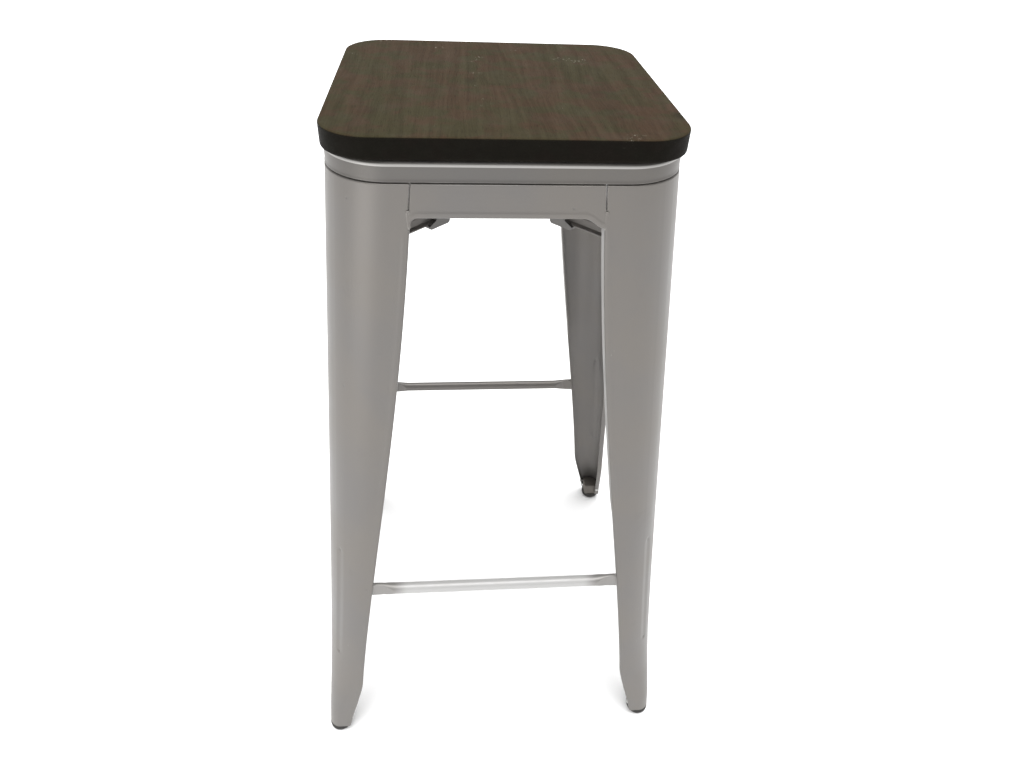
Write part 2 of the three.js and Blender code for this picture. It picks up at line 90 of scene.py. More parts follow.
BRACE_WIDTH, BRACE_LIP, BRACE_TAB = 17 * MM, 2.5 * MM, 14 * MM
BRACE_FLARE = 2 * MM  # drop of a lip from its fold to its edge
BRACE_CROWN, BRACE_FOOT, BRACE_CLEAR = 2.4 * MM, 0.4 * MM, 0.8 * MM
BRACE_SET_DOWN = 1.2 * MM  # of the lower strip, under the upper one
BUMPER_START, BUMPER_END, BUMPER_HEEL = 80 * MM, 106 * MM, 9 * MM
BUMPER_WALL, BUMPER_CHAMFER = 2.5 * MM, 2 * MM

FLAT_LENGTH, FLAT_RUNOUT = 13 * MM, 12 * MM  # pressed end of a bar, and its slope
FLAT_HALF_THICK = 2.2 * MM
WELD_RADIUS = 1.5 * MM
RAIL_WELD_HALF, RAIL_WELD_PROUD, WELD_BLOB = 1.3 * MM, 0.25 * MM, 1.1 * MM
RUBBED_AND_HIGHLIGHT_HALF = 112 * MM  # from the middle of the front bar to where its painted highlight and shoe rubbing stop

BOARD_CORNER, BOARD_EASE = 42 * MM, 2 * MM
SOLE_RADIUS, PAD_RADIUS, PAD_SHOULDER = 9 * MM, 14 * MM, 6 * MM
PLUG_CORNER = 4 * MM
RIVET_HEIGHT, RIVET_FROM_FACE = 25 * MM, 4.6 * MM
RIVET_SHANK, RIVET_HEAD, RIVET_DOME, RIVET_TAIL = 1.4 * MM, 2.5 * MM, 1.2 * MM, 5 * MM
PAD_GROOVE = 0.8 * MM
SCREW_SHANK, SOCKET_DEPTH, WASHER_BORE = 2 * MM, 1.4 * MM, 2.3 * MM
STAVE_WIDTH, FIRST_STAVE = 62 * MM, 20 * MM

# Width of a leg's flange and radius of its outer corner against height, in millimetres.
FLANGE_WIDTHS = [(11, 27), (30, 30), (65, 37), (94, 41.5), (110, 42)]
FLANGE_WIDTHS += [(688.5, 73), (700.5, 71.2), (725, 71.2)]
CORNER_RADII = [(11, 14), (30, 15), (65, 22), (94, 30), (150, 39), (320, 47), (725, 54)]

# Colours, as linear red, green and blue.
PAINT_COOL, PAINT_WARM = (0.141, 0.134, 0.128), (0.154, 0.143, 0.131)
PAINT_RUBBED_AND_HIGHLIGHT, PAINT_RIM_HIGHLIGHT, PAINT_WORN = (0.39, 0.387, 0.382), (0.42, 0.41, 0.395), (0.5, 0.485, 0.46)
PAINT_SMUDGE, PAINT_SCRATCH, PAINT_NICK = (0.8, 0.79, 0.77), (0.42, 0.41, 0.39), (0.13, 0.125, 0.12)
PAINT_DUST, WOOD_DUST, PLASTIC_DUST = (0.3, 0.28, 0.25), (0.13, 0.12, 0.1), (0.2, 0.19, 0.17)
RUBBER_DUST, ZINC_DUST = (0.15, 0.135, 0.118), (0.16, 0.15, 0.14)
WOOD_DARK, WOOD_LIGHT = (0.05, 0.04, 0.025), (0.07, 0.057, 0.035)
WOOD_FIBRE, WOOD_PORE, WOOD_KNOT = (0.085, 0.07, 0.046), (0.022, 0.017, 0.011), (0.03, 0.022, 0.014)
WOOD_PATCH, WOOD_FLECK, WOOD_WORN = (0.075, 0.066, 0.052), (0.27, 0.25, 0.2), (0.08, 0.068, 0.046)
WOOD_SIDE_STAIN_AND_SHADE = (0.002, 0.0016, 0.001)
STAVE_COOL, STAVE_WARM = (0.96, 1.0, 0.95), (1.06, 0.99, 0.97)
STAIN_GREEN, STAIN_RED = (0.5, 0.505, 0.375), (0.62, 0.46, 0.405)
PLASTIC_DARK, PLASTIC_LIGHT = (0.13, 0.125, 0.118), (0.16, 0.153, 0.145)
PLASTIC_WORN = (0.1, 0.098, 0.1)
RUBBER_DARK, RUBBER_LIGHT = (0.018, 0.0175, 0.017), (0.03, 0.029, 0.027)
RUBBER_SCUFF, RUBBER_WORN = (0.09, 0.085, 0.078), (0.075, 0.072, 0.067)
ZINC_DARK, ZINC_LIGHT = (0.42, 0.42, 0.41), (0.56, 0.555, 0.54)
FLOOR_DARK, FLOOR_LIGHT = (0.93, 0.93, 0.93), (0.97, 0.97, 0.97)

# ---- Places from the frame ----

board_low, board_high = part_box("seat_board")
pan_low, pan_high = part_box("seat_pan")
leg_low, leg_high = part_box("leg_back_right")
rail_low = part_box("rail_back")[0]
brace_low, brace_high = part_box("brace_upper")
foot_low, foot_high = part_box("foot_back_right")
bumper_low, bumper_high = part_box("bumper_back_right")

seam = pan_low.z - SEAM_GAP
spigot_top = leg_high.z
spigot_half = pan_high.x - SPIGOT_INSET
top_face = pan_high.x + LEG_PROUD
lean = (leg_high.x - top_face) / (seam - leg_low.z)
ear_bottom = rail_low.z
rail_bottom = ear_bottom + RAIL_EAR
weld_top = seam - OPEN_SEAM
brace_bottom = brace_low.z
brace_top = brace_high.z - BRACE_TAB


# ---- Shape helpers ----

def clamp(value, low=0.0, high=1.0):
    return max(low, min(high, value))


def smooth(value):
    share = clamp(value)
    return share * share * (3 - 2 * share)


def lerp(a, b, share):
    return a + (b - a) * share


def spread(first, last, count):
    """count even steps from first to last, with both ends."""
    return [lerp(first, last, i / count) for i in range(count + 1)]


def eased(table, z):
    """A smooth value from a table of (height, value) in millimetres, at height z in metres."""
    height = z / MM
    if height <= table[0][0]:
        return table[0][1] * MM
    if height >= table[-1][0]:
        return table[-1][1] * MM
    i = next(k for k in range(1, len(table)) if table[k][0] >= height)
    (h0, v0), (h1, v1) = table[i - 1], table[i]
    slope = (v1 - v0) / (h1 - h0)

    def side_slope(k):
        if not 0 < k < len(table) - 1:
            return slope
        before = (table[k][1] - table[k - 1][1]) / (table[k][0] - table[k - 1][0])
        after = (table[k + 1][1] - table[k][1]) / (table[k + 1][0] - table[k][0])
        return 0.0 if before * after <= 0 else 2 * before * after / (before + after)

    run = h1 - h0
    t = (height - h0) / run
    hermite = (
        v0 * (1 + 2 * t) * (1 - t) ** 2
        + v1 * t * t * (3 - 2 * t)
        + run * t * (1 - t) * (side_slope(i - 1) * (1 - t) - side_slope(i) * t)
    )
    return hermite * MM


def rounded_path(corners, steps=6):
    """2-D points along a line of (u, v, radius) corners, each turned as an arc."""
    path = []
    for i, (u, v, radius) in enumerate(corners):
        here = Vector((u, v))
        if radius == 0 or i in (0, len(corners) - 1):
            path.append(here)
            continue
        before = (Vector(corners[i - 1][:2]) - here).normalized()
        after = (Vector(corners[i + 1][:2]) - here).normalized()
        half = before.angle(after) / 2
        centre = here + (before + after).normalized() * (radius / sin(half))
        start = here + before * (radius / tan(half)) - centre
        end = here + after * (radius / tan(half)) - centre
        first = atan2(start.y, start.x)
        sweep = (atan2(end.y, end.x) - first + pi) % (2 * pi) - pi
        for angle in spread(first, first + sweep, steps):
            path.append(centre + radius * Vector((cos(angle), sin(angle))))
    return path


def rounded_square(half, radius, steps):
    core = half - radius
    outline = []
    for corner, (sx, sy) in enumerate([(1, 1), (-1, 1), (-1, -1), (1, -1)]):
        for angle in spread(QUARTER * corner, QUARTER * (corner + 1), steps):
            x = sx * core + radius * cos(angle)
            y = sy * core + radius * sin(angle)
            outline.append((x, y))
    return outline


def sheet(outer, inner):
    """Closed sheet metal through matching rows of points on its two sides."""
    count = len(outer[0])
    verts = [p for row in outer + inner for p in row]
    back = len(outer) * count
    last = len(outer) - 1
    faces = []
    for i in range(last):
        for j in range(count - 1):
            a = i * count + j
            faces.append((a, a + 1, a + count + 1, a + count))
            faces.append((back + a, back + a + count, back + a + count + 1, back + a + 1))
        for j in (0, count - 1):
            a = i * count + j
            faces.append((a, a + count, back + a + count, back + a))
    for j in range(count - 1):
        for i in (0, last):
            a = i * count + j
            faces.append((a, a + 1, back + a + 1, back + a))
    return verts, faces


def loft(rings, closed=False):
    """A skin through rings of equal length, capped at both ends or joined end to end."""
    count = len(rings[0])
    verts = [p for ring in rings for p in ring]
    faces = []
    for i in range(len(rings) if closed else len(rings) - 1):
        here, above = i * count, ((i + 1) % len(rings)) * count
        for j in range(count):
            k = (j + 1) % count
            faces.append((here + j, here + k, above + k, above + j))
    if not closed:
        faces.append(tuple(range(count)))
        faces.append(tuple(range(len(verts) - count, len(verts))))
    return verts, faces


def full_turn(count):
    """count even angles round a circle."""
    return [2 * pi * k / count for k in range(count)]


def turned(profile, segments=48):
    """A piece turned about +Z from (radius, z) points that start and end on the axis."""
    rings = []
    for radius, z in profile:
        reach = max(radius, 0.01 * MM)
        rings.append([Vector((reach * cos(a), reach * sin(a), z)) for a in full_turn(segments)])
    return loft(rings)


def moved(shape, matrix):
    verts, faces = shape
    return [matrix @ Vector(v) for v in verts], faces


def quarter_turns(shape, turns):
    return moved(shape, Matrix.Rotation(turns * QUARTER, 4, "Z"))


def add_object(name, data):
    made = bpy.data.objects.new(name, data)
    bpy.context.scene.collection.objects.link(made)
    return made


def make_piece(name, shapes, material, stands_for=(), edge=0.0, edge_steps=2):
    """One visible piece from closed shapes, with its sharp edges rounded to radius edge."""
    bm = bmesh.new()
    for verts, faces in shapes:
        made = [bm.verts.new(v) for v in verts]
        for face in faces:
            bm.faces.new([made[i] for i in face])
    bmesh.ops.recalc_face_normals(bm, faces=bm.faces)
    for face in bm.faces:
        face.smooth = True
    mesh = bpy.data.meshes.new(name)
    bm.to_mesh(mesh)
    bm.free()
    mesh.materials.append(material)
    piece = add_object(name, mesh)
    if edge:
        bevel = piece.modifiers.new("rounded edges", "BEVEL")
        bevel.width = edge
        bevel.segments = edge_steps
        bevel.limit_method = "ANGLE"
        bevel.angle_limit = radians(50)
    piece.modifiers.new("even shading", "WEIGHTED_NORMAL")
    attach(piece, "root")
    if stands_for:
        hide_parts(*stands_for)
    return piece


# ---- The form of a leg, which the rails, bars and brace follow ----

def slope_at(z):
    """Outer face of a leg without the step at its top."""
    return leg_high.x - lean * (z - leg_low.z)


def step_at(z):
    """The step behind the skirt: 0 below it and 1 above it."""
    return smooth((z - seam + 0.4 * STEP_HEIGHT) / (1.6 * STEP_HEIGHT))


def face_at(z):
    """Outer face of the legs and rails, with the rounded step behind the pan's skirt."""
    return lerp(slope_at(z), spigot_half, step_at(z))


def corner_at(z):
    """Outer radius of a leg's corner."""
    return lerp(eased(CORNER_RADII, z), PAN_CORNER - SPIGOT_INSET, step_at(z))


def edge_at(z):
    """Free edge of a leg's flange, from the middle of the stool."""
    return slope_at(z) - eased(FLANGE_WIDTHS, z)


def fold_at(z):
    """Radius of a leg's folded edge."""
    beside_rail = smooth((z - ear_bottom + RAIL_EAR / 2) / RAIL_EAR)
    return lerp(FOLD_RADIUS, TIGHT_FOLD, beside_rail)


def bead_depth(z, across):
    """How far the bead and the dimple at each of its ends sink the corner of a leg."""
    along = smooth(min(z - BEAD_LOW, BEAD_HIGH - z) / BEAD_RUNOUT)
    groove = BEAD_DEPTH * along * smooth(1 - abs(across) / (BEAD_WIDTH / 2))
    end = min(abs(z - BEAD_HIGH + BEAD_RUNOUT / 2), abs(z - BEAD_LOW - BEAD_RUNOUT / 2))
    return groove + DIMPLE_DEPTH * (1 - smooth(hypot(across, end) / DIMPLE_RADIUS))


def lip_at(z):
    """Depth of a leg's lip: shallow beside the footrest bars and deep above them."""
    return lerp(LEG_LIP, DEEP_LIP, smooth((z - LIP_STEP_LOW) / (LIP_STEP_HIGH - LIP_STEP_LOW)))


def swell(from_edge):
    """Height of the ridge beside a fold, at a distance from the folded edge."""
    return FOLD_SWELL * exp(-(((from_edge - SWELL_PLACE) / SWELL_WIDTH) ** 2))


def leg_section(z, inset):
    """Points round a leg in the +X +Y corner, from one lip to the other."""
    face, corner, edge = face_at(z), corner_at(z), edge_at(z)
    hub = face - corner
    fold = max(fold_at(z), inset + 0.05 * MM)
    half = [Vector((edge + inset, y, z)) for y in spread(face - lip_at(z), face - fold, 3)[:-1]]
    for turn in spread(0, QUARTER, 6):
        x = edge + fold - (fold - inset) * cos(turn)
        half.append(Vector((x, face - fold + (fold - inset) * sin(turn), z)))
    if hub - edge < EDGE_ZONE + 2 * MM:
        flange = spread(edge + fold, hub, 11)[1:-1]
    else:
        flange = spread(edge + fold, edge + EDGE_ZONE, 7)[1:]
        flange += spread(edge + EDGE_ZONE, hub, 4)[1:-1]
    below_rail = smooth((ear_bottom - 2 * MM - z) / (6 * MM))
    ridge = below_rail * smooth((hub - edge - 8 * MM) / (6 * MM))
    half += [Vector((x, face - inset + ridge * swell(x - edge), z)) for x in flange]
    bead_start = QUARTER / 2 + min(BEAD_WIDTH / 2 / corner, BEAD_SHARE * QUARTER / 2)
    turns = spread(QUARTER, bead_start, 7) + spread(bead_start, QUARTER / 2, 9)[1:]
    for turn in turns:
        radius = corner - inset - bead_depth(z, (turn - QUARTER / 2) * corner)
        half.append(Vector((hub + radius * cos(turn), hub + radius * sin(turn), z)))
    return half + [Vector((p.y, p.x, p.z)) for p in reversed(half[:-1])]


def leg_shape():
    """The folded sheet of a leg, cut finely where its bead and its step are."""
    levels = [
        (BEAD_LOW - BEAD_RUNOUT, 32),
        (BEAD_LOW + 2 * BEAD_RUNOUT, 20),
        (BEAD_HIGH - 2 * BEAD_RUNOUT, 24),
        (LIP_STEP_HIGH, 30),
        (seam - STEP_HEIGHT, 80),
        (seam + 2 * STEP_HEIGHT, 14),
        (spigot_top, 1),
    ]
    heights = [leg_low.z]
    for level, steps in levels:
        heights += spread(heights[-1], level, steps)[1:]
    return sheet([leg_section(z, 0) for z in heights], [leg_section(z, SHEET) for z in heights])


# ---- Pressed steel pieces ----

def make_legs(paint):
    shape = leg_shape()
    for turns, corner in enumerate(CORNERS):
        leg = quarter_turns(shape, turns)
        make_piece(f"leg_{corner}_steel", [leg], paint, [f"leg_{corner}"], 0.35 * MM)


def rail_slit(z):
    """Gap between a rail and a leg, which is all but closed up to the top of their weld."""
    return lerp(0.1 * MM, SLIT, smooth((z - weld_top + MM) / (2 * MM)))


def rail_section(side, from_end, inset):
    """Points up a rail on the +Y side, at a distance from one of its ends."""
    half = edge_at(ear_bottom)
    if side < 0:
        low = rail_bottom - RAIL_EAR * smooth(1 - from_end / LONG_EAR) ** 1.3
    else:
        fillet_left = RAIL_EAR - min(from_end, RAIL_EAR)
        low = rail_bottom - RAIL_EAR + sqrt(RAIL_EAR**2 - fillet_left**2)

    def point(y, z):
        return Vector((side * (edge_at(z) - rail_slit(z)) * (1 - from_end / half), y, z))

    face, radius = face_at(low), FOLD_RADIUS - inset
    lip = spread(face - RAIL_LIP, face - FOLD_RADIUS, 3)[:-1]
    path = [point(y, low + inset) for y in lip]
    for turn in spread(0, QUARTER, 6):
        y = face - FOLD_RADIUS + radius * sin(turn)
        path.append(point(y, low + FOLD_RADIUS - radius * cos(turn)))
    heights = spread(low + FOLD_RADIUS, low + EDGE_ZONE, 8)[1:]
    heights += spread(low + EDGE_ZONE, seam - STEP_HEIGHT, 8)[1:]
    for z in heights:
        path.append(point(face_at(z) - inset + swell(z - low), z))
    for z in spread(seam - STEP_HEIGHT, seam + 2 * STEP_HEIGHT, 12)[1:] + [spigot_top]:
        path.append(point(face_at(z) - inset, z))
    return path


def make_rails(paint):
    half = edge_at(ear_bottom)
    run = [RAIL_EAR * (1 - cos(turn)) for turn in spread(0, QUARTER, 14)]
    run += spread(RAIL_EAR, LONG_EAR + MM, 8)[1:] + spread(LONG_EAR + MM, half - MM, 8)[1:]
    stations = [(-1, d) for d in run] + [(1, d) for d in reversed(run)]
    shape = sheet(
        [rail_section(side, d, 0) for side, d in stations],
        [rail_section(side, d, SHEET) for side, d in stations],
    )
    for turns, side in enumerate(SIDES):
        rail = quarter_turns(shape, turns)
        make_piece(f"rail_{side}_steel", [rail], paint, [f"rail_{side}"], 0.35 * MM)


def rail_weld(side):
    """The ground weld that closes the lower part of a slit, with the blob at its top."""
    rings = []
    for z in spread(ear_bottom - MM, weld_top, 30):
        taper = sqrt(clamp((z - ear_bottom + MM) / (3 * MM)))
        blob = WELD_BLOB * (1 - smooth((weld_top - z) / (3 * MM)))
        ripple = 1 + 0.08 * noise.noise(Vector((side * 7.3, 0.0, z / (1.5 * MM))))
        width = (RAIL_WELD_HALF + 0.4 * blob) * taper * ripple
        proud = (RAIL_WELD_PROUD + 0.55 * blob) * taper * ripple
        x, y = side * (edge_at(z) + 0.2 * MM), face_at(z) - 0.05 * MM
        rings.append([Vector((x + width * cos(t), y + proud * sin(t), z)) for t in full_turn(16)])
    return loft(rings)


def make_rail_welds(paint):
    shapes = [quarter_turns(rail_weld(side), turns) for turns in range(4) for side in (-1, 1)]
    make_piece("rail_welds_steel", shapes, paint)


def make_seat_pan(paint):
    def ring(inset, z):
        outline = rounded_square(pan_high.x - inset, PAN_CORNER - inset, 20)
        return [Vector((x, y, z)) for x, y in outline]

    bend = pan_high.z - PAN_SHOULDER

    def shoulder(radius):
        arc = [(radius * cos(t), radius * sin(t)) for t in spread(0, QUARTER, 8)]
        return [ring(PAN_SHOULDER - out, bend + up) for out, up in arc]

    heights = spread(pan_low.z, bend, 16)
    skirt = [(z, PAN_FLARE * exp(-(((z - pan_low.z) / FLARE_HEIGHT) ** 2))) for z in heights]
    rings = shoulder(PAN_SHOULDER - SHEET)[::-1]
    rings += [ring(SHEET - out, z) for z, out in reversed(skirt)]
    rings += [ring(-out, z) for z, out in skirt[:-1]]
    rings += shoulder(PAN_SHOULDER)
    make_piece("seat_pan_steel", [loft(rings)], paint, ["seat_pan"], 0.4 * MM)


def brace_reach(across, z):
    """Distance along an arm of the brace to its end inside a leg's corner."""
    corner = corner_at(z)
    radius = corner - SHEET - BRACE_CLEAR
    return (face_at(z) - corner) * sqrt(2) + sqrt(radius**2 - across**2)


def brace_strip(set_down):
    """A folded strip along +X with its lips turned out, and its ends bent up as tabs."""
    web, lip = BRACE_WIDTH / 2, BRACE_WIDTH / 2 + BRACE_LIP
    top = brace_top

    def section(inset):
        wall = web - inset
        flat = brace_bottom + SHEET - inset
        crown, foot = BRACE_CROWN - inset, BRACE_FOOT + inset
        right = [(wall, top - inset, crown), (wall, flat + BRACE_FLARE, foot), (lip, flat, 0)]
        left = [(-u, v, r) for u, v, r in reversed(right)]
        return rounded_path(left + right, 5)

    def row(path, share):
        points = []
        for across, z in path:
            x = share * brace_reach(across, z)
            dip = set_down * (1 - smooth((abs(x) - lip) / (3 * lip)))
            points.append(Vector((x, across, z - dip)))
        return points

    shares = spread(-1, 1, 60)
    arms = sheet([row(section(0), s) for s in shares], [row(section(SHEET), s) for s in shares])

    def tab_face(side, inset):
        def point(across, z):
            return Vector((side * (brace_reach(across, z) - inset), across, z))

        heights = spread(top - SHEET, top + BRACE_TAB, 8)
        return [[point(across, z) for across in spread(-web, web, 8)] for z in heights]

    return [arms] + [sheet(tab_face(side, 0), tab_face(side, SHEET)) for side in (-1, 1)]


def make_brace(paint):
    for name, turns, set_down in (("brace_upper", 0.5, 0), ("brace_lower", 1.5, BRACE_SET_DOWN)):
        shapes = [quarter_turns(shape, turns) for shape in brace_strip(set_down)]
        make_piece(f"{name}_steel", shapes, paint, [name], 0.3 * MM)


# ---- Footrest bars ----

def bar_ring(side, d, height, axis, radius, full):
    """Points round a bar at a distance d from its end, which follows the leg's edge."""
    narrowed = smooth((d - 0.3 * FLAT_LENGTH) / (FLAT_LENGTH + FLAT_RUNOUT))
    half_height = lerp(full, radius, narrowed)
    flat = lerp(FLAT_HALF_THICK, radius * 1.02, clamp((d - FLAT_LENGTH) / FLAT_RUNOUT))
    ring = []
    for turn in full_turn(64):
        z = height + half_height * sin(turn)
        y = axis + clamp(radius * cos(turn), -flat, flat)
        ring.append(Vector((side * (edge_at(z) - 0.1 * MM) * (1 - d / edge_at(height)), y, z)))
    return ring


def bar_weld(side, height, axis, full):
    """The rippled bead of weld round the flat end of a bar."""
    rings = []
    for turn in full_turn(72):
        outline = Vector((0, 1.12 * FLAT_HALF_THICK * cos(turn), full * sin(turn)))
        ripple = 1 + 0.16 * noise.noise(Vector((turn * 6, side * 3.1, height * 40)))
        out = Vector((0, cos(turn), 0.5 * sin(turn))).normalized()
        ring = []
        for angle in full_turn(10):
            p = outline + out * (WELD_RADIUS * ripple * 0.7 * cos(angle))
            z = height + p.z
            x = side * (edge_at(z) - WELD_RADIUS * ripple * sin(angle))
            ring.append(Vector((x, axis + p.y, z)))
        rings.append(ring)
    return loft(rings, closed=True)


def make_footrest_bars(paint, rubbed_and_highlight_paint):
    """The four bars; the front one is painted lighter across its middle: a painted highlight, with
    some rubbing by shoes.
    """
    for turns, side_name in enumerate(SIDES):
        node = f"footrest_bar_{side_name}"
        low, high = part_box(node)
        height = (low.z + high.z) / 2
        full = (high.z - low.z) / 2
        across = "y" if turns % 2 == 0 else "x"
        near, far = sorted((abs(getattr(low, across)), abs(getattr(high, across))))
        axis, radius = (near + far) / 2, (far - near) / 2
        run = spread(0, FLAT_LENGTH + 1.5 * FLAT_RUNOUT, 40)
        run += spread(run[-1], edge_at(height) - MM, 10)[1:]
        stations = [(-1, d) for d in run] + [(1, d) for d in reversed(run)]
        bar = loft([bar_ring(side, d, height, axis, radius, full) for side, d in stations])
        welds = [bar_weld(side, height, axis, full) for side in (-1, 1)]
        shapes = [quarter_turns(shape, turns) for shape in (bar, *welds)]
        finish = rubbed_and_highlight_paint if side_name == "front" else paint
        make_piece(f"{node}_steel", shapes, finish, [node])


# ---- Bumpers, feet and fixings ----

def bumper_shape():
    """A bumper clipped under the arm that runs along +X."""
    base, grip = bumper_low.z, bumper_high.z
    floor_top = brace_bottom - CLEARANCE
    heel_start = BUMPER_END - BUMPER_HEEL
    neck = BRACE_WIDTH / 2 + CLEARANCE
    outer = BRACE_WIDTH / 2 + BRACE_LIP + CLEARANCE + BUMPER_WALL
    stations = [
        (BUMPER_START, base + BUMPER_CHAMFER, grip),
        (BUMPER_START + BUMPER_CHAMFER, base, grip),
        (heel_start, base, grip),
        (heel_start + 0.2 * MM, base, (brace_bottom + grip) / 2),
        (BUMPER_END - BUMPER_CHAMFER, base, floor_top + 1.2 * MM),
        (BUMPER_END, base + BUMPER_CHAMFER, floor_top + 0.2 * MM),
    ]
    rings = []
    for x, low, wall in stations:
        half = [(neck, floor_top), (neck, wall), (outer, wall), (outer, low)]
        ring = half + [(-y, z) for y, z in reversed(half)]
        rings.append([Vector((x, y, z)) for y, z in ring])
    return loft(rings)


def make_bumpers(plastic):
    shape = bumper_shape()
    for turns, corner in enumerate(CORNERS):
        bumper = quarter_turns(shape, turns + 0.5)
        node = f"bumper_{corner}"
        make_piece(f"{node}_plastic", [bumper], plastic, [node], 0.7 * MM, 3)


def foot_shapes():
    """The pad under the +X +Y leg, and the plug that fills the end of the leg."""
    pad_top = leg_low.z - CLEARANCE
    pad = turned(
        [
            (0, foot_low.z),
            (SOLE_RADIUS - 0.6 * MM, foot_low.z),
            (SOLE_RADIUS, foot_low.z + 0.3 * MM),
            (lerp(SOLE_RADIUS, PAD_RADIUS, 0.6), 0.25 * PAD_SHOULDER),
            (lerp(SOLE_RADIUS, PAD_RADIUS, 0.88), 0.55 * PAD_SHOULDER),
            (PAD_RADIUS, PAD_SHOULDER),
            (PAD_RADIUS, pad_top - 2 * PAD_GROOVE),
            (PAD_RADIUS - PAD_GROOVE, pad_top - PAD_GROOVE),
            (PAD_RADIUS, pad_top - 0.3 * MM),
            (PAD_RADIUS - 0.3 * MM, pad_top),
            (0, pad_top),
        ]
    )
    near = PAD_RADIUS - SHEET - CLEARANCE
    far = PAD_RADIUS - eased(FLANGE_WIDTHS, leg_low.z) + SHEET + CLEARANCE
    outer_corner = eased(CORNER_RADII, foot_high.z) - SHEET - CLEARANCE
    mid = (near + far) / 2
    corners = [(mid, far, 0), (near, far, PLUG_CORNER), (near, near, outer_corner)]
    corners += [(far, near, PLUG_CORNER), (far, far, PLUG_CORNER), (mid, far, 0)]
    outline = rounded_path(corners, 10)[:-1]
    centre = Vector((mid, mid))
    plug_rings = []
    for z, inset in ((pad_top - MM, 0), (foot_high.z - 1.5 * MM, 0), (foot_high.z, 1.5 * MM)):
        ring = [centre + (p - centre) * (1 - inset / (near - mid)) for p in outline]
        plug_rings.append([Vector((p.x, p.y, z)) for p in ring])
    middle = leg_high.x + lean * leg_low.z - PAD_RADIUS
    slant = Matrix.Translation((middle, middle, 0))
    slant[0][2] = -lean
    slant[1][2] = -lean
    return [moved(pad, slant), moved(loft(plug_rings), slant)]


def make_feet(rubber):
    shapes = foot_shapes()
    for turns, corner in enumerate(CORNERS):
        foot = [quarter_turns(shape, turns) for shape in shapes]
        make_piece(f"foot_{corner}_rubber", foot, rubber, [f"foot_{corner}"], 0.3 * MM)


def rivet_shape():
    """A domed rivet along +Z with its seat at Z = 0."""
    dome = [(RIVET_HEAD * cos(t), RIVET_DOME * sin(t)) for t in spread(0, QUARTER, 8)]
    return turned([(0, -RIVET_TAIL), (RIVET_SHANK, -RIVET_TAIL), (RIVET_SHANK, 0), *dome], 32)


def make_rivets(zinc):
    seat = edge_at(RIVET_HEIGHT) - CLEARANCE / 3
    across = face_at(RIVET_HEIGHT) - RIVET_FROM_FACE
    places = {
        "a": Matrix.Translation((seat, across, RIVET_HEIGHT)) @ Matrix.Rotation(-QUARTER, 4, "Y"),
        "b": Matrix.Translation((across, seat, RIVET_HEIGHT)) @ Matrix.Rotation(QUARTER, 4, "X"),
    }
    for turns, corner in enumerate(CORNERS):
        for letter, place in places.items():
            node = f"foot_rivet_{letter}_{corner}"
            rivet = quarter_turns(moved(rivet_shape(), place), turns)
            make_piece(f"{node}_zinc", [rivet], zinc, [node], 0.15 * MM)


def screw_shape(low, high, under):
    """A pan-head screw with a socket, from its head at low to its tip at high."""
    head, depth = (high.x - low.x) / 2, under - low.z
    floor = low.z + SOCKET_DEPTH
    socket = [(0, floor), (0.3 * head, floor), (0.38 * head, low.z + 0.1 * MM)]
    domed = [(head * sin(t), 0.35 + 0.65 * cos(t)) for t in spread(0.3, QUARTER, 8)]
    dome = [(radius, under - share * depth) for radius, share in domed]
    shank = [(head, under), (SCREW_SHANK, under), (SCREW_SHANK, high.z - SCREW_SHANK), (0, high.z)]
    return turned([*socket, *dome, *shank], 40)


def washer_shape(low, high):
    rim, ease = (high.x - low.x) / 2, 0.1 * MM
    profile = [
        (WASHER_BORE, low.z),
        (rim - 2 * ease, low.z),
        (rim, low.z + 2 * ease),
        (rim, high.z - ease),
        (rim - ease, high.z),
        (WASHER_BORE, high.z),
    ]
    rings = []
    for t in full_turn(48):
        rings.append([Vector((r * cos(t), r * sin(t), z)) for r, z in profile])
    return loft(rings, closed=True)


def make_board_fixings(zinc):
    """The four pan-head screws under the seat, each on its washer."""
    for number in range(1, 5):
        screw, washer = f"board_screw_{number}", f"board_washer_{number}"
        low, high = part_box(screw)
        ring_low, ring_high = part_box(washer)
        centre = Matrix.Translation(((low.x + high.x) / 2, (low.y + high.y) / 2, 0))
        bodies = {
            screw: screw_shape(low, high, ring_low.z - CLEARANCE / 2),
            washer: washer_shape(ring_low, ring_high),
        }
        for node, body in bodies.items():
            piece = moved(body, centre)
            make_piece(f"{node}_zinc", [piece], zinc, [node], 0.1 * MM)


# ---- Seat board ----

def make_seat_board(walnut):
    half = board_high.x

    def ring(inset, z):
        wobble = 0.25 * MM
        points = []
        for x, y in rounded_square(half - inset, BOARD_CORNER - inset, 28):
            worn = wobble * clamp(noise.noise(Vector((x * 60, y * 60, z * 40))))
            shrink = 1 - worn / half
            points.append(Vector((x * shrink, y * shrink, z)))
        return points

    bend = [BOARD_EASE * (1 - sin(t)) for t in spread(0, QUARTER, 6)]
    rise = bend[::-1]
    bottom = [(inset, board_low.z + up) for inset, up in zip(bend, rise)]
    side = [(0, z) for z in spread(board_low.z + BOARD_EASE, board_high.z - BOARD_EASE, 6)[1:-1]]
    top = [(inset, board_high.z - down) for inset, down in zip(rise, bend)]
    rings = [ring(inset, z) for inset, z in bottom + side + top]
    make_piece("seat_board_wood", [loft(rings)], walnut, ["seat_board"])


# ---- Shader helpers ----

def add_node(tree, kind, settings=None, inputs=None):
    """A node with its settings, each input set to a value or linked from a socket."""
    made = tree.nodes.new("ShaderNode" + kind)
    for key, value in (settings or {}).items():
        setattr(made, key, value)
    for key, value in (inputs or {}).items():
        if isinstance(value, bpy.types.NodeSocket):
            tree.links.new(value, made.inputs[key])
        else:
            made.inputs[key].default_value = value
    return made


def maths(tree, operation, a, b=0.0, clamped=False):
    settings = {"operation": operation, "use_clamp": clamped}
    return add_node(tree, "Math", settings, {0: a, 1: b}).outputs[0]


def times(tree, a, b, clamped=False):
    return maths(tree, "MULTIPLY", a, b, clamped)


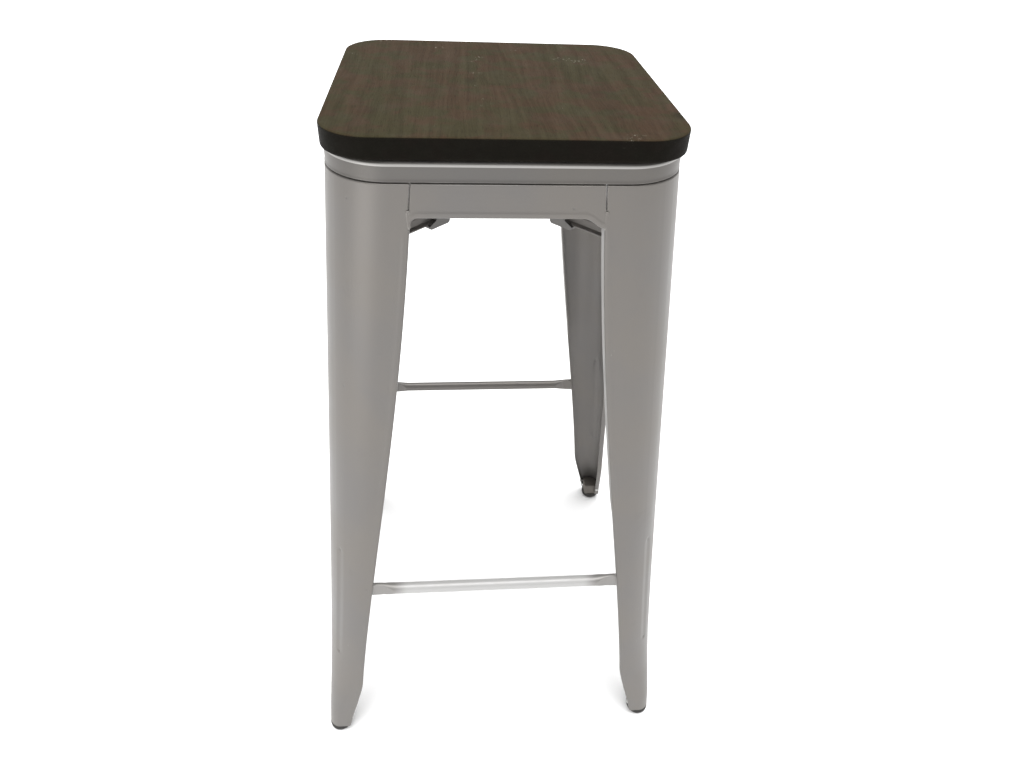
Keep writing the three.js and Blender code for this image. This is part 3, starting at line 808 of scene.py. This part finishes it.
def ramp(tree, value, low, high, out_low=0.0, out_high=1.0):
    """A smooth step between two values, which may rise or fall."""
    inputs = {"Value": value, "From Min": low, "From Max": high}
    inputs.update({"To Min": out_low, "To Max": out_high})
    settings = {"interpolation_type": "SMOOTHSTEP"}
    return add_node(tree, "MapRange", settings, inputs).outputs["Result"]


def blend(tree, share, a, b, way="MIX"):
    """A mix of two colours, each a socket or a red, green and blue."""
    a, b = [c if isinstance(c, bpy.types.NodeSocket) else (*c, 1) for c in (a, b)]
    settings = {"data_type": "RGBA", "blend_type": way}
    return add_node(tree, "Mix", settings, {0: share, 6: a, 7: b}).outputs[2]


def lay_over(tree, under, mask, strength, colour):
    """A colour over the one under it, where a mask is, at a strength."""
    return blend(tree, times(tree, mask, strength), under, colour)


def part_of(tree, vector, axis):
    return add_node(tree, "SeparateXYZ", inputs={0: vector}).outputs[axis]


def vector_of(tree, x, y, z):
    inputs = {"X": x, "Y": y, "Z": z}
    return add_node(tree, "CombineXYZ", inputs=inputs).outputs["Vector"]


def facing_up(tree):
    """The Z part of the surface's normal."""
    return part_of(tree, add_node(tree, "NewGeometry").outputs["Normal"], "Z")


def stretch(tree, vector, scale):
    inputs = {"Vector": vector, "Scale": scale}
    return add_node(tree, "Mapping", inputs=inputs).outputs["Vector"]


def cloud(tree, vector, scale, detail=3.0, roughness=0.5, distortion=0.0):
    """A soft noise from 0 to 1."""
    inputs = {"Vector": vector, "Scale": scale, "Detail": detail}
    inputs.update({"Roughness": roughness, "Distortion": distortion})
    return add_node(tree, "TexNoise", inputs=inputs).outputs["Fac"]


def new_group(name, inputs, outputs):
    """An empty shader node group with float inputs {name: value} and named outputs."""
    tree = bpy.data.node_groups.new(name, "ShaderNodeTree")
    tree.interface.new_socket("Vector", in_out="INPUT", socket_type="NodeSocketVector")
    for label, value in inputs.items():
        socket = tree.interface.new_socket(label, in_out="INPUT", socket_type="NodeSocketFloat")
        socket.default_value = value
    for label in outputs:
        tree.interface.new_socket(label, in_out="OUTPUT", socket_type="NodeSocketFloat")
    given = tree.nodes.new("NodeGroupInput").outputs
    return tree, given, tree.nodes.new("NodeGroupOutput").inputs


def place_group(tree, group, vector, **values):
    node = add_node(tree, "Group", {"node_tree": group}, {"Vector": vector})
    for label, value in values.items():
        node.inputs[label.replace("_", " ")].default_value = value
    return node.outputs


# ---- Effects that several finishes share ----

def edge_wear_group():
    """Mask of rubbed outer edges: wide or narrow, and broken up by a noise."""
    inputs = {"Radius": 0.001, "Patchiness": 60.0, "Amount": 1.0}
    tree, given, result = new_group("edge wear", inputs, ["Mask"])
    rounded = add_node(tree, "Bevel", {"samples": 6}, {"Radius": given["Radius"]})
    flat = add_node(tree, "NewGeometry")
    normals = {0: rounded.outputs["Normal"], 1: flat.outputs["Normal"]}
    bend = add_node(tree, "VectorMath", {"operation": "DOT_PRODUCT"}, normals)
    edge = ramp(tree, bend.outputs["Value"], 0.995, 0.86)
    patches = ramp(tree, cloud(tree, given["Vector"], given["Patchiness"], 4.0, 0.6), 0.38, 0.62)
    worn = times(tree, times(tree, edge, patches), given["Amount"], True)
    tree.links.new(worn, result["Mask"])
    return tree


def marks_group():
    """Handling marks: soft smudges, small nicks and hairline scratches."""
    inputs = {"Scale": 1.0, "Amount": 1.0}
    tree, given, result = new_group("handling marks", inputs, ["Smudge", "Nick", "Scratch"])
    place = {0: given["Vector"], "Scale": given["Scale"]}
    scaled = add_node(tree, "VectorMath", {"operation": "SCALE"}, place)
    vector = scaled.outputs["Vector"]
    smudge = ramp(tree, cloud(tree, vector, 26.0, 4.0, 0.62, 0.6), 0.6, 0.78)
    dots = add_node(tree, "TexVoronoi", inputs={"Vector": vector, "Scale": 55.0})
    spot = ramp(tree, dots.outputs["Distance"], 0.09, 0.03)
    chances = add_node(tree, "SeparateColor", inputs={"Color": dots.outputs["Color"]})
    nick = times(tree, spot, ramp(tree, chances.outputs["Red"], 0.8, 0.86))
    slanted = stretch(tree, vector, (900.0, 900.0, 22.0))
    line = ramp(tree, cloud(tree, slanted, 1.0, 1.0), 0.77, 0.82)
    where = ramp(tree, cloud(tree, vector, 9.0, 2.0), 0.52, 0.66)
    scratch = times(tree, line, where)
    for label, mask in (("Smudge", smudge), ("Nick", nick), ("Scratch", scratch)):
        tree.links.new(times(tree, mask, given["Amount"], True), result[label])
    return tree


def dust_group():
    """Fine dust that lies on faces turned up and gathers in corners."""
    tree, given, result = new_group("dust", {"Amount": 1.0, "Corners": 0.5}, ["Mask"])
    upward = ramp(tree, facing_up(tree), 0.2, 1.0)
    hollow = add_node(tree, "AmbientOcclusion", {"samples": 4}, {"Distance": 0.012})
    closed_in = ramp(tree, hollow.outputs["AO"], 0.75, 0.25)
    lying = maths(tree, "MAXIMUM", upward, times(tree, closed_in, given["Corners"]))
    patches = ramp(tree, cloud(tree, given["Vector"], 45.0, 5.0, 0.65), 0.35, 0.75)
    grit = ramp(tree, cloud(tree, given["Vector"], 900.0, 2.0, 0.7), 0.55, 0.8)
    cover = times(tree, maths(tree, "MAXIMUM", patches, grit), lying)
    tree.links.new(times(tree, cover, given["Amount"], True), result["Mask"])
    return tree


def grain_group():
    """Moulded or sprayed surface texture: a fine stipple over a broad, slow mottle."""
    inputs = {"Size": 0.001, "Mottle Size": 0.06}
    tree, given, result = new_group("surface grain", inputs, ["Height", "Mottle"])
    fine = maths(tree, "DIVIDE", 1.0, given["Size"])
    broad = maths(tree, "DIVIDE", 1.0, given["Mottle Size"])
    tree.links.new(cloud(tree, given["Vector"], fine, 2.0, 0.55), result["Height"])
    tree.links.new(cloud(tree, given["Vector"], broad, 3.0, 0.55, 0.3), result["Mottle"])
    return tree


# ---- Finishes ----

def new_material(name, **values):
    """A material with its Principled shader, its node tree and the stool's own coordinates."""
    material = bpy.data.materials.new(name)
    material.use_nodes = True
    tree = material.node_tree
    shader = tree.nodes["Principled BSDF"]
    for label, value in values.items():
        shader.inputs[label.replace("_", " ")].default_value = value
    vector = add_node(tree, "TexCoord").outputs["Object"]
    return material, tree, shader, vector


def bump(tree, height, distance, strength=1.0, under=None):
    inputs = {"Height": height, "Distance": distance, "Strength": strength}
    if under is not None:
        inputs["Normal"] = under
    return add_node(tree, "Bump", inputs=inputs).outputs["Normal"]


def link_finish(tree, shader, colour, rough, normal):
    sockets = {"Base Color": colour, "Roughness": rough, "Normal": normal}
    for label, socket in sockets.items():
        tree.links.new(socket, shader.inputs[label])


def satin_paint(effects, name, tone=1.0, rubbed_and_highlight_half=0.0, rim_highlight_height=0.0):
    """Warm grey satin powder coat over steel, made darker by a tone under 1; on the seat pan
    that darker tone is painted shade under the board's overhang.

    Across the front bar, out to a given distance from the middle, the paint is lighter and less
    metallic: a painted highlight, with some rubbing by shoes. A thin light line at a given height
    round the pan is a painted highlight on the pan's rounded shoulder.
    """
    material, tree, shader, vector = new_material(name, Metallic=0.5)
    grain = place_group(tree, effects["grain"], vector, Size=0.0011, Mottle_Size=0.09)
    marks = place_group(tree, effects["marks"], vector, Scale=1.0, Amount=1.0)
    wear = place_group(tree, effects["wear"], vector, Radius=0.0011, Patchiness=70.0, Amount=0.7)
    dust = place_group(tree, effects["dust"], vector, Amount=0.3, Corners=0.5)
    cool, warm = [[tone * part for part in shade] for shade in (PAINT_COOL, PAINT_WARM)]
    colour = blend(tree, ramp(tree, grain["Mottle"], 0.3, 0.7), cool, warm)
    smudged = blend(tree, 1.0, colour, PAINT_SMUDGE, "MULTIPLY")
    colour = lay_over(tree, colour, marks["Smudge"], 0.35, smudged)
    # front bar painted lighter and less metallic across its middle: a painted highlight, with some
    # rubbing by shoes
    if rubbed_and_highlight_half:
        across = maths(tree, "ABSOLUTE", part_of(tree, vector, "X"))
        rubbed = ramp(tree, across, rubbed_and_highlight_half + 6 * MM, rubbed_and_highlight_half - 14 * MM, 0.3, 1.0)
        colour = blend(tree, rubbed, colour, PAINT_RUBBED_AND_HIGHLIGHT)
        tree.links.new(ramp(tree, rubbed, 0.0, 1.0, 0.5, 0.15), shader.inputs["Metallic"])
    if rim_highlight_height:
        # thin light line round the pan: a painted highlight on the pan's rounded shoulder
        above_rim = maths(tree, "SUBTRACT", part_of(tree, vector, "Z"), rim_highlight_height)
        rim = ramp(tree, maths(tree, "ABSOLUTE", above_rim), 1.3 * MM, 0.6 * MM, 0.0, 0.85)
        colour = blend(tree, rim, colour, PAINT_RIM_HIGHLIGHT)
    colour = lay_over(tree, colour, marks["Scratch"], 0.4, PAINT_SCRATCH)
    colour = lay_over(tree, colour, marks["Nick"], 0.6, PAINT_NICK)
    colour = lay_over(tree, colour, wear["Mask"], 0.6, PAINT_WORN)
    colour = lay_over(tree, colour, dust["Mask"], 0.5, PAINT_DUST)
    rough = ramp(tree, grain["Mottle"], 0.25, 0.75, 0.36, 0.44)
    rough = maths(tree, "ADD", rough, times(tree, dust["Mask"], 0.3))
    rough = maths(tree, "SUBTRACT", rough, times(tree, wear["Mask"], 0.1))
    normal = bump(tree, grain["Height"], 0.00006, 0.5)
    normal = bump(tree, marks["Nick"], -0.0003, 0.6, normal)
    link_finish(tree, shader, colour, rough, normal)
    return material


def stave_places(tree, vector):
    """The coordinates shifted for each stave, the same with a wave, and the stave's chance."""
    place = add_node(tree, "SeparateXYZ", inputs={0: vector}).outputs
    from_first = maths(tree, "ADD", place["X"], FIRST_STAVE)
    stave = maths(tree, "FLOOR", maths(tree, "DIVIDE", from_first, STAVE_WIDTH))
    settings = {"noise_dimensions": "1D"}
    chance = add_node(tree, "TexWhiteNoise", settings, {"W": stave}).outputs["Value"]
    along = maths(tree, "ADD", place["Y"], chance)
    shifted = vector_of(tree, place["X"], along, place["Z"])
    wave = cloud(tree, stretch(tree, shifted, (14.0, 4.0, 14.0)), 1.0, 2.0)
    across = maths(tree, "ADD", place["X"], times(tree, wave, 0.03))
    return shifted, vector_of(tree, across, along, place["Z"]), chance


def stained_walnut(effects):
    """Dark stained walnut staves with the grain from front to back; the faces not turned up are
    painted near-black, partly painted shade and partly a darker stain.
    """
    material, tree, shader, vector = new_material("stained_walnut", Specular_IOR_Level=0.07)
    shifted, waved, chance = stave_places(tree, vector)
    wear = place_group(tree, effects["wear"], vector, Radius=0.003, Patchiness=45.0, Amount=0.8)
    dust = place_group(tree, effects["dust"], vector, Amount=0.25, Corners=0.2)
    figure = cloud(tree, stretch(tree, waved, (130.0, 5.0, 130.0)), 1.0, 5.0, 0.62)
    fibre = cloud(tree, stretch(tree, waved, (900.0, 26.0, 900.0)), 1.0, 3.0, 0.6)
    pores = cloud(tree, stretch(tree, shifted, (1500.0, 90.0, 1500.0)), 1.0, 1.0)
    pore = ramp(tree, pores, 0.6, 0.72)
    cells = {"Vector": stretch(tree, waved, (16.0, 9.0, 1.0)), "Scale": 1.0}
    knots = add_node(tree, "TexVoronoi", inputs=cells)
    knot = ramp(tree, knots.outputs["Distance"], 0.17, 0.02)
    patch = ramp(tree, cloud(tree, vector, 22.0, 4.0, 0.6, 0.5), 0.45, 0.75, 0.0, 0.3)
    blotch = ramp(tree, cloud(tree, vector, 32.0, 3.0, 0.6, 0.4), 0.42, 0.6)
    flakes = cloud(tree, stretch(tree, vector, (420.0, 160.0, 420.0)), 1.0, 3.0, 0.7)
    flaked_area = ramp(tree, cloud(tree, vector, 30.0, 2.0), 0.64, 0.72)
    fleck = times(tree, ramp(tree, flakes, 0.57, 0.66), flaked_area)

    colour = blend(tree, ramp(tree, figure, 0.32, 0.7), WOOD_DARK, WOOD_LIGHT)
    hue = blend(tree, chance, STAVE_COOL, STAVE_WARM)
    colour = blend(tree, 1.0, colour, hue, "MULTIPLY")
    colour = blend(tree, ramp(tree, fibre, 0.3, 0.75, 0.0, 0.5), colour, WOOD_FIBRE)
    colour = lay_over(tree, colour, pore, 0.45, WOOD_PORE)
    colour = lay_over(tree, colour, knot, 0.8, WOOD_KNOT)
    colour = blend(tree, patch, colour, WOOD_PATCH)
    stain = blend(tree, blotch, STAIN_GREEN, STAIN_RED)
    colour = blend(tree, 1.0, colour, stain, "MULTIPLY")
    colour = lay_over(tree, colour, fleck, 0.6, WOOD_FLECK)
    # faces not turned up painted near-black: painted shade away from the overhead light, with a
    # darker stain
    side = ramp(tree, facing_up(tree), 0.75, 0.25)
    colour = lay_over(tree, colour, side, 0.93, WOOD_SIDE_STAIN_AND_SHADE)
    colour = lay_over(tree, colour, wear["Mask"], 0.45, WOOD_WORN)
    colour = lay_over(tree, colour, dust["Mask"], 0.2, WOOD_DUST)
    rough = ramp(tree, figure, 0.3, 0.75, 0.7, 0.6)
    height = maths(tree, "SUBTRACT", times(tree, fibre, 0.4), pore)
    link_finish(tree, shader, colour, rough, bump(tree, height, 0.00018, 0.6))
    return material


def charcoal_plastic(effects):
    """Moulded charcoal plastic with a fine spark texture and rubbed edges."""
    material, tree, shader, vector = new_material("charcoal_plastic", Specular_IOR_Level=0.4)
    grain = place_group(tree, effects["grain"], vector, Size=0.0006, Mottle_Size=0.02)
    wear = place_group(tree, effects["wear"], vector, Radius=0.0008, Patchiness=180.0, Amount=0.7)
    dust = place_group(tree, effects["dust"], vector, Amount=0.5, Corners=0.6)
    colour = blend(tree, grain["Mottle"], PLASTIC_DARK, PLASTIC_LIGHT)
    colour = lay_over(tree, colour, wear["Mask"], 0.5, PLASTIC_WORN)
    colour = lay_over(tree, colour, dust["Mask"], 0.3, PLASTIC_DUST)
    rough = ramp(tree, grain["Mottle"], 0.2, 0.8, 0.52, 0.62)
    link_finish(tree, shader, colour, rough, bump(tree, grain["Height"], 0.00012, 0.5))
    return material


def black_rubber(effects):
    """Matt black rubber, scuffed grey near the floor and dusty round the top of the pad."""
    material, tree, shader, vector = new_material("black_rubber", Specular_IOR_Level=0.35)
    grain = place_group(tree, effects["grain"], vector, Size=0.0009, Mottle_Size=0.012)
    wear = place_group(tree, effects["wear"], vector, Radius=0.001, Patchiness=240.0, Amount=0.9)
    dust = place_group(tree, effects["dust"], vector, Amount=0.8, Corners=0.5)
    height = part_of(tree, vector, "Z")
    near_floor = ramp(tree, height, 7 * MM, 0.0)
    scuff = times(tree, near_floor, ramp(tree, grain["Mottle"], 0.35, 0.6))
    colour = blend(tree, grain["Mottle"], RUBBER_DARK, RUBBER_LIGHT)
    colour = lay_over(tree, colour, scuff, 0.5, RUBBER_SCUFF)
    colour = lay_over(tree, colour, wear["Mask"], 0.4, RUBBER_WORN)
    settled = ramp(tree, height, 9.5 * MM, 12.5 * MM, 0.0, 0.8)
    colour = blend(tree, maths(tree, "MAXIMUM", settled, dust["Mask"]), colour, RUBBER_DUST)
    rough = ramp(tree, grain["Mottle"], 0.2, 0.8, 0.68, 0.85)
    link_finish(tree, shader, colour, rough, bump(tree, grain["Height"], 0.0002, 0.5))
    return material


def zinc_plate(effects):
    """Zinc-plated fixings, dulled in the hollows."""
    material, tree, shader, vector = new_material("zinc_plate", Metallic=1.0)
    grain = place_group(tree, effects["grain"], vector, Size=0.0004, Mottle_Size=0.004)
    dust = place_group(tree, effects["dust"], vector, Amount=0.7, Corners=1.0)
    colour = blend(tree, grain["Mottle"], ZINC_DARK, ZINC_LIGHT)
    colour = lay_over(tree, colour, dust["Mask"], 0.6, ZINC_DUST)
    rough = ramp(tree, grain["Mottle"], 0.2, 0.8, 0.28, 0.45)
    link_finish(tree, shader, colour, rough, bump(tree, grain["Height"], 0.00005, 0.5))
    return material


# ---- Floor, light and camera ----

def make_floor():
    size = 14.0
    mesh = bpy.data.meshes.new("floor")
    corners = [(-size, -size, 0), (size, -size, 0), (size, size, 0), (-size, size, 0)]
    mesh.from_pydata(corners, [], [(0, 1, 2, 3)])
    floor = add_object("floor", mesh)
    matt = {"Roughness": 0.9, "Specular_IOR_Level": 0.1}
    material, tree, shader, vector = new_material("pale_floor", **matt)
    tone = blend(tree, cloud(tree, vector, 1.5, 2.0), FLOOR_DARK, FLOOR_LIGHT)
    tree.links.new(tone, shader.inputs["Base Color"])
    mesh.materials.append(material)


def make_sun(name, from_left, height, spread_angle, power):
    """A wide soft light far off: degrees to the left of the front, above the floor and across."""
    lamp = bpy.data.lights.new(name, "SUN")
    lamp.energy = power
    lamp.angle = radians(spread_angle)
    light = add_object(name, lamp)
    turn, rise = radians(from_left), radians(height)
    level = Vector((-sin(turn), -cos(turn), 0)) * cos(rise)
    towards = level + Vector((0, 0, sin(rise)))
    light.rotation_euler = towards.to_track_quat("Z", "Y").to_euler()


def make_area_light(name, place, aim, size, power):
    lamp = bpy.data.lights.new(name, "AREA")
    lamp.size = size
    lamp.energy = power
    light = add_object(name, lamp)
    light.location = place
    light.rotation_euler = (Vector(aim) - Vector(place)).to_track_quat("-Z", "Y").to_euler()


def make_studio():
    world = bpy.data.worlds.new("studio")
    world.use_nodes = True
    background = world.node_tree.nodes["Background"]
    background.inputs["Color"].default_value = (1, 1, 1, 1)
    background.inputs["Strength"].default_value = 0.68
    bpy.context.scene.world = world
    make_sun("overhead_softbox", from_left=15, height=84, spread_angle=50, power=3.9)
    make_area_light("left_softbox", (-0.95, -1.1, 0.55), (-0.15, -0.1, 0.35), 0.8, 3.6)
    bpy.context.scene.view_settings.view_transform = "Standard"


def make_camera():
    """An eye above and in front of the stool, looking down at it, with a slight tilt."""
    turned_right, tipped_down, rolled = 0.10935, 0.66154, 0.05175
    data = bpy.data.cameras.new("camera")
    data.sensor_width = 36
    data.lens = 25.347
    camera = add_object("camera", data)
    ahead = Vector((sin(turned_right), cos(turned_right), 0))
    forward = ahead * cos(tipped_down) - Vector((0, 0, sin(tipped_down)))
    level = Vector((cos(turned_right), -sin(turned_right), 0))
    upright = level.cross(forward)
    right = cos(rolled) * level + sin(rolled) * upright
    up = cos(rolled) * upright - sin(rolled) * level
    axes = Matrix((right, up, -forward)).transposed().to_4x4()
    camera.matrix_world = Matrix.Translation((-0.04952, -0.69223, 0.95051)) @ axes
    bpy.context.scene.camera = camera


# ---- The stool ----

effects = {
    "wear": edge_wear_group(),
    "marks": marks_group(),
    "dust": dust_group(),
    "grain": grain_group(),
}
paint = satin_paint(effects, "satin_grey_paint")
# Pan paint: its darker tone is painted shade under the board's overhang, and its light line is a
# painted highlight on the shoulder.
pan_paint_shade_and_highlight = satin_paint(effects, "pan_grey_paint_shade_and_highlight", tone=0.74, rim_highlight_height=pan_high.z - RIM_HIGHLIGHT_DROP)
# Front bar paint: a painted highlight across its middle, with some shoe rubbing.
rubbed_and_highlight_paint = satin_paint(effects, "rubbed_and_highlight_grey_paint", rubbed_and_highlight_half=RUBBED_AND_HIGHLIGHT_HALF)
walnut = stained_walnut(effects)
plastic = charcoal_plastic(effects)
rubber = black_rubber(effects)
zinc = zinc_plate(effects)

make_seat_board(walnut)
make_seat_pan(pan_paint_shade_and_highlight)
make_legs(paint)
make_rails(paint)
make_rail_welds(paint)
make_brace(paint)
make_footrest_bars(paint, rubbed_and_highlight_paint)
make_bumpers(plastic)
make_feet(rubber)
make_rivets(zinc)
make_board_fixings(zinc)

make_floor()
make_studio()
make_camera()
